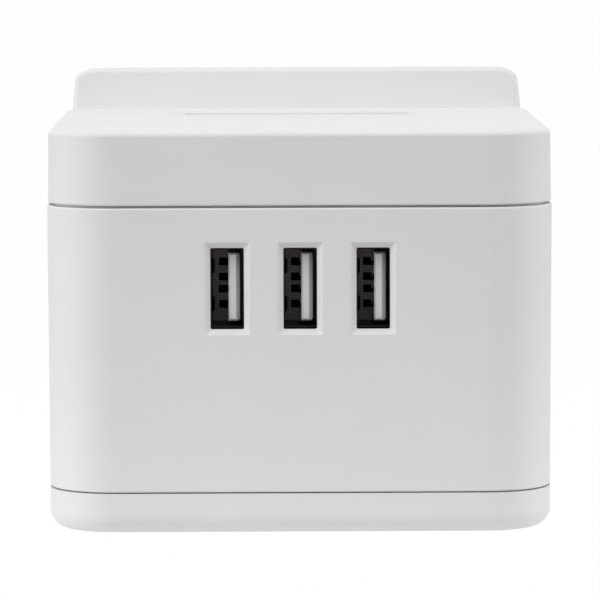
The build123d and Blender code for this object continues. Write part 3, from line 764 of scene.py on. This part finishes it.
@dataclass
class Screws:
    """The screws of the case, with cross recesses and cut threads.

    Attributes:
        kinds: the screws that there are.
        pitch: from one turn of the thread to the next.
        core: the radius inside the thread, as a share of that over it.
        steps: how many faces there are round a screw.
        thread_steps: how many faces there are along one turn of the thread.
        ridge_steps: how many corners the thread's section has.
        head: the corners of the head's section, out and up, as shares of its radius and height.
        tip: the radius of the tip as a share of the core's.
        recess: the recess's length, width and depth as shares of the head's radius and height.
        recess_taper: the recess's width at its foot as a share of that at its mouth.
        recipe: the tree that cuts the threads and repeats the screws.
    """

    kinds: tuple[ScrewSize, ...] = (
        ScrewSize("case_screws", 2.6 * MM, 1.8 * MM, 1.45 * MM, 15.0 * MM, ((0, 0, 1),)),
        ScrewSize("board_screws", 2.0 * MM, 1.4 * MM, 1.1 * MM, 5.6 * MM, ((0, -1, 0),)),
        ScrewSize("carrier_screws", 2.0 * MM, 1.4 * MM, 1.1 * MM, 6.4 * MM, ((1, 0, 0), (-1, 0, 0))),
    )
    pitch: float = 0.8 * MM
    core: float = 0.76
    steps: int = 36
    thread_steps: int = 24
    ridge_steps: int = 4
    head: tuple[Span, ...] = ((0, -1), (0.66, -1), (0.84, -0.92), (0.95, -0.7), (1, -0.42), (1, 0))
    tip: float = 0.2
    recess: Triple = (1.15, 0.32, 0.6)
    recess_taper: float = 0.6
    recipe: Recipe = field(default_factory=lambda: Recipe("screws"))

    def __post_init__(self) -> None:
        recipe = self.recipe
        blank = recipe.add("GeometryNodeObjectInfo", Object=recipe.value("Blank", "Object"))
        radius = recipe.value("Thread Radius")
        spiral = recipe.add(
            "GeometryNodeCurveSpiral", Resolution=self.thread_steps, Rotations=recipe.value("Thread Turns"),
            Start_Radius=radius, End_Radius=radius, Height=recipe.value("Thread Length"),
        )
        ridge = recipe.add(
            "GeometryNodeCurvePrimitiveCircle", Resolution=self.ridge_steps, Radius=recipe.value("Ridge"),
        )
        thread = recipe.add(
            "GeometryNodeCurveToMesh", Curve=spiral.outputs["Curve"], Profile_Curve=ridge.outputs["Curve"],
            Fill_Caps=True,
        )
        start = recipe.value("Thread Start", "Vector")
        set_on = recipe.add("GeometryNodeTransform", Geometry=thread.outputs["Mesh"], Translation=start)
        screw = recipe.add("GeometryNodeJoinGeometry", Geometry=blank.outputs["Geometry"])
        recipe.join(set_on.outputs["Geometry"], screw.inputs["Geometry"])
        whole = recipe.add("GeometryNodeGeometryToInstance", Geometry=screw.outputs["Geometry"])
        recipe.end(recipe.repeat(whole.outputs["Instances"]))

    def profile(self, kind: ScrewSize) -> list[Span]:
        """The section of a screw, from the middle of its head to its tip."""
        core = kind.shank_r * self.core
        corners = [(kind.head_r * out, kind.head_h * up) for out, up in self.head]
        point = [(core, kind.shank - core), (self.tip * core, kind.shank), (0.0, kind.shank)]
        return corners + [(core, 0.0)] + point

    def cut_recess(self, blank: bpy.types.Object, kind: ScrewSize) -> None:
        """Cut the cross recess into a blank's head, with a cutter that stands out of it as far.

        Args:
            blank: the turned screw, whose mesh is replaced.
            kind: its sizes.
        """
        length, width, depth = self.recess
        reach, half = kind.head_r * length / 2, kind.head_r * width / 2
        arm = (Vector((reach, -half, 0)), Vector((reach, half, 0)), Vector((half, half, 0)))
        turns = [Matrix.Rotation(i * math.pi / 2, 3, "Z") for i in range(4)]
        cross = [turn @ corner for turn in turns for corner in arm]
        shape = bmesh.new()
        mouth, foot = (
            [shape.verts.new(corner * taper + Vector((0, 0, level * kind.head_h))) for corner in cross]
            for taper, level in ((1.0, -1 - depth), (self.recess_taper, depth - 1))
        )
        shape.faces.new(mouth)
        shape.faces.new(foot)
        for i, corner in enumerate(mouth):
            shape.faces.new((mouth[i - 1], corner, foot[i], foot[i - 1]))
        cutter = link_shape("recess_cross", shape)
        cut = blank.modifiers.new("recess", "BOOLEAN")
        cut.object = cutter
        graph = bpy.context.evaluated_depsgraph_get()
        blank.data = bpy.data.meshes.new_from_object(blank.evaluated_get(graph))
        blank.modifiers.clear()
        bpy.data.objects.remove(cutter)

    def build(self, wardrobe: Wardrobe) -> None:
        """Make each kind of screw in the place of its packed group."""
        for kind in self.kinds:
            blank = turned_shape(f"{kind.node}_blank", self.profile(kind), self.steps)
            self.cut_recess(blank, kind)
            core = kind.shank_r * self.core
            ridge = (kind.shank_r - core) / 2
            # The thread leaves one radius free at each end
            length = kind.shank - 2 * kind.shank_r
            piece = self.recipe.bake(
                f"{kind.node}_cut", kind.places(), Blank=blank, Finish=wardrobe.materials["screw_steel"],
                Thread_Radius=kind.shank_r - ridge, Thread_Turns=length / self.pitch, Thread_Length=length,
                Thread_Start=(0.0, 0.0, kind.shank_r), Ridge=ridge,
            )
            bpy.data.objects.remove(blank)
            settle(piece, "screw_steel", kind.node)


@dataclass
class ShutterSprings:
    """The coil springs that close the shutters, with close turns at both ends.

    Attributes:
        sides: the outlets that have one.
        turns: how many turns each one has.
        wire: the thickness of its wire.
        pressed: not used.
        even: how much of the winding is evenly spread; the rest is closer at both ends.
        turn_steps: how many faces there are along one turn.
        wire_steps: how many faces there are round the wire.
        recipe: the tree that winds the wire.
    """

    sides: tuple[str, ...] = ("right", "left")
    turns: float = 8.0
    wire: float = 0.36 * MM
    pressed: float = 0.4
    even: float = 0.4
    turn_steps: int = 32
    wire_steps: int = 12
    recipe: Recipe = field(default_factory=lambda: Recipe("coil"))

    def __post_init__(self) -> None:
        recipe = self.recipe
        radius = recipe.value("Coil Radius")
        height = recipe.value("Coil Height")
        ring = recipe.add(
            "GeometryNodeCurveSpiral", Resolution=self.turn_steps, Rotations=recipe.value("Turns"),
            Start_Radius=radius, End_Radius=radius, Height=height,
        )
        along = recipe.add("GeometryNodeSplineParameter").outputs["Factor"]
        eased = recipe.add("ShaderNodeMapRange", Value=along)
        eased.interpolation_type = "SMOOTHSTEP"
        shift = recipe.math("SUBTRACT", eased.outputs["Result"], along)
        shift = recipe.math("MULTIPLY", shift, recipe.math("SUBTRACT", 1.0, recipe.value("Even")))
        lift = recipe.add("ShaderNodeCombineXYZ", Z=recipe.math("MULTIPLY", shift, height))
        wound = recipe.add(
            "GeometryNodeSetPosition", Geometry=ring.outputs["Curve"], Offset=lift.outputs["Vector"],
        )
        wire = recipe.add(
            "GeometryNodeCurvePrimitiveCircle", Resolution=self.wire_steps,
            Radius=recipe.value("Wire Radius"),
        )
        coil = recipe.add(
            "GeometryNodeCurveToMesh", Curve=wound.outputs["Geometry"], Profile_Curve=wire.outputs["Curve"],
            Fill_Caps=True,
        )
        recipe.end(recipe.repeat(coil.outputs["Mesh"]))

    def build(self, wardrobe: Wardrobe) -> None:
        """Make both springs."""
        for side in self.sides:
            node = f"shutter_spring_{side}"
            low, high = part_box(node)
            foot = Vector(((low[0] + high[0]) / 2, (low[1] + high[1]) / 2, low[2] + self.wire / 2))
            piece = self.recipe.bake(
                f"{node}_coil", [(foot, Vector((0, 0, 1)))], Finish=wardrobe.materials["spring_steel"],
                Coil_Radius=(high[0] - low[0] - self.wire) / 2, Coil_Height=high[2] - low[2] - self.wire,
                Turns=self.turns, Even=self.even, Wire_Radius=self.wire / 2,
            )
            piece.data.shade_smooth()
            settle(piece, "spring_steel", node)
            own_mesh(piece)


# The studio

@dataclass(frozen=True)
class Lamp:
    """A square soft lamp.

    Attributes:
        name: its name.
        place: where it stands, in metres.
        side: its width and height, in metres.
        power: its strength in watts.
    """

    name: str
    place: Triple
    side: float
    power: float

    def add(self, aim: Vector) -> None:
        """Put the lamp in the scene, turned towards a point."""
        data = bpy.data.lights.new(self.name, "AREA")
        data.size = self.side
        data.energy = self.power
        lamp = bpy.data.objects.new(self.name, data)
        lamp.location = self.place
        lamp.rotation_euler = (aim - lamp.location).to_track_quat("-Z", "Y").to_euler()
        bpy.context.scene.collection.objects.link(lamp)


@dataclass(frozen=True)
class Studio:
    """The pale floor, the soft lamps, the white surround and the camera.

    Attributes:
        floor_side: the floor's width in metres.
        floor_tone: the floor's colour.
        floor_white: how far the camera sees the floor as plain white, 0 to 1.
        glow: the strength of the light that comes up through the floor under the object.
        glow_reach: how far from the middle that light fades out, in metres.
        dome: the strength of the even light from all round.
        stand: where the camera stands, in metres.
        pitch: how far it looks down, in radians.
        yaw: how far it is turned to the left, in radians.
        roll: how far it is tipped over to the left, in radians.
        focal: its focal length as a share of the picture's width.
        lamps: the soft lamps.
    """

    floor_side: float = 12.0
    floor_tone: Rgb = (0.42, 0.42, 0.42)
    floor_white: float = 0.985
    glow: float = 0.5
    glow_reach: float = 0.28
    dome: float = 0.1
    stand: Triple = (-0.00516, -0.74884, 0.10557)
    pitch: float = 0.09391
    yaw: float = -0.00722
    roll: float = -0.00313
    focal: float = 7.2962
    lamps: tuple[Lamp, ...] = (
        Lamp("left_lamp", (-0.95, -0.3, 0.3), 0.8, 6.9),
        Lamp("right_lamp", (0.95, -0.05, 0.3), 0.8, 5.5),
        Lamp("top_lamp", (0.0, 0.05, 1.0), 0.6, 1.5),
        Lamp("front_lamp", (0.0, -0.65, 1.2), 0.7, 8.2),
        Lamp("back_lamp", (0.0, 1.2, 0.8), 0.9, 2.0),
    )

    def build(self, middle: Vector) -> None:
        """Set up the whole studio.

        Args:
            middle: the point that the lamps are turned towards.
        """
        self.add_floor()
        self.add_surround()
        for lamp in self.lamps:
            lamp.add(middle)
        self.add_camera()
        bpy.context.scene.view_settings.view_transform = "Standard"

    def white_rays(self, graph: Graph) -> Socket:
        """Add nodes that pick out the rays which should see plain white.

        Args:
            graph: the floor's or the surround's nodes.

        Returns:
            A socket that is 1 for camera, glossy and transmission rays.
        """
        rays = graph.add("ShaderNodeLightPath").outputs
        seen = graph.math("MAXIMUM", rays["Is Camera Ray"], rays["Is Glossy Ray"])
        return graph.math("MAXIMUM", seen, rays["Is Transmission Ray"])

    def add_floor(self) -> None:
        """Lay the floor, a plain sheet that keeps a soft shadow."""
        half = self.floor_side / 2
        mesh = bpy.data.meshes.new("floor")
        corners = [(-half, -half, 0), (half, -half, 0), (half, half, 0), (-half, half, 0)]
        mesh.from_pydata(corners, [], [(0, 1, 2, 3)])
        floor = bpy.data.objects.new("floor", mesh)
        bpy.context.scene.collection.objects.link(floor)
        material = bpy.data.materials.new("floor_paper")
        material.use_nodes = True
        graph = Graph(material.node_tree)
        nodes = material.node_tree.nodes
        nodes.remove(nodes["Principled BSDF"])
        paper = graph.add("ShaderNodeAddShader")
        sheet = graph.add("ShaderNodeBsdfDiffuse", Color=(*self.floor_tone, 1))
        graph.join(sheet.outputs["BSDF"], paper.inputs[0])
        graph.join(self.table_light(graph), paper.inputs[1])
        white = graph.add("ShaderNodeEmission", Color=WHITE)
        mix = graph.add(
            "ShaderNodeMixShader", Fac=graph.math("MULTIPLY", self.white_rays(graph), self.floor_white),
        )
        graph.join(paper.outputs["Shader"], mix.inputs[1])
        graph.join(white.outputs["Emission"], mix.inputs[2])
        graph.join(mix.outputs["Shader"], nodes["Material Output"].inputs["Surface"])
        material.cycles.emission_sampling = "NONE"
        mesh.materials.append(material)
        floor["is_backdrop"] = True

    def table_light(self, graph: Graph) -> Socket:
        """Add the light that comes up through the floor and fades away from the middle.

        Args:
            graph: the floor's nodes.

        Returns:
            The light's shader socket.
        """
        away = graph.add("ShaderNodeVectorMath")
        away.operation = "LENGTH"
        graph.join(graph.add("ShaderNodeTexCoord").outputs["Object"], away.inputs[0])
        level = graph.add(
            "ShaderNodeMapRange", Value=away.outputs["Value"], From_Max=self.glow_reach,
            To_Min=self.glow, To_Max=0.0,
        )
        level.interpolation_type = "SMOOTHSTEP"
        light = graph.add("ShaderNodeEmission", Color=WHITE, Strength=level.outputs["Result"])
        return light.outputs["Emission"]

    def add_surround(self) -> None:
        """Make the world an even dome of light that the camera sees as white."""
        world = bpy.data.worlds.new("surround")
        bpy.context.scene.world = world
        world.use_nodes = True
        graph = Graph(world.node_tree)
        nodes = world.node_tree.nodes
        nodes.remove(nodes["Background"])
        dome = graph.add("ShaderNodeBackground", Color=WHITE, Strength=self.dome)
        white = graph.add("ShaderNodeBackground", Color=WHITE)
        mix = graph.add("ShaderNodeMixShader", Fac=self.white_rays(graph))
        graph.join(dome.outputs["Background"], mix.inputs[1])
        graph.join(white.outputs["Background"], mix.inputs[2])
        graph.join(mix.outputs["Shader"], nodes["World Output"].inputs["Surface"])

    def add_camera(self) -> None:
        """Stand the camera where the photograph was taken from."""
        right = Vector((math.cos(self.yaw), math.sin(self.yaw), 0))
        ahead = Vector((-math.sin(self.yaw), math.cos(self.yaw), 0)) * math.cos(self.pitch)
        ahead.z = -math.sin(self.pitch)
        up = right.cross(ahead)
        tipped_right = right * math.cos(self.roll) + up * math.sin(self.roll)
        tipped_up = up * math.cos(self.roll) - right * math.sin(self.roll)
        turn = Matrix((tipped_right, tipped_up, -ahead)).transposed()
        data = bpy.data.cameras.new("camera")
        data.sensor_fit = "HORIZONTAL"
        data.lens = self.focal * data.sensor_width
        camera = bpy.data.objects.new("camera", data)
        camera.matrix_world = Matrix.Translation(self.stand) @ turn.to_4x4()
        bpy.context.scene.collection.objects.link(camera)
        bpy.context.scene.camera = camera


def main() -> None:
    """Load the frame, dress it, and set up the studio."""
    logging.basicConfig(level=logging.INFO, format="%(name)s: %(message)s")
    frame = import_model()
    solids_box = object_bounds()
    wardrobe = Wardrobe()
    wardrobe.dress(frame)
    copies = Copies()
    FootPads().build(copies, wardrobe)
    SolderJoints().build(copies, wardrobe)
    Screws().build(wardrobe)
    ShutterSprings().build(wardrobe)
    Studio().build(Vector((0, 0, solids_box[1][2] / 2)))


if __name__ == "__main__":
    main()
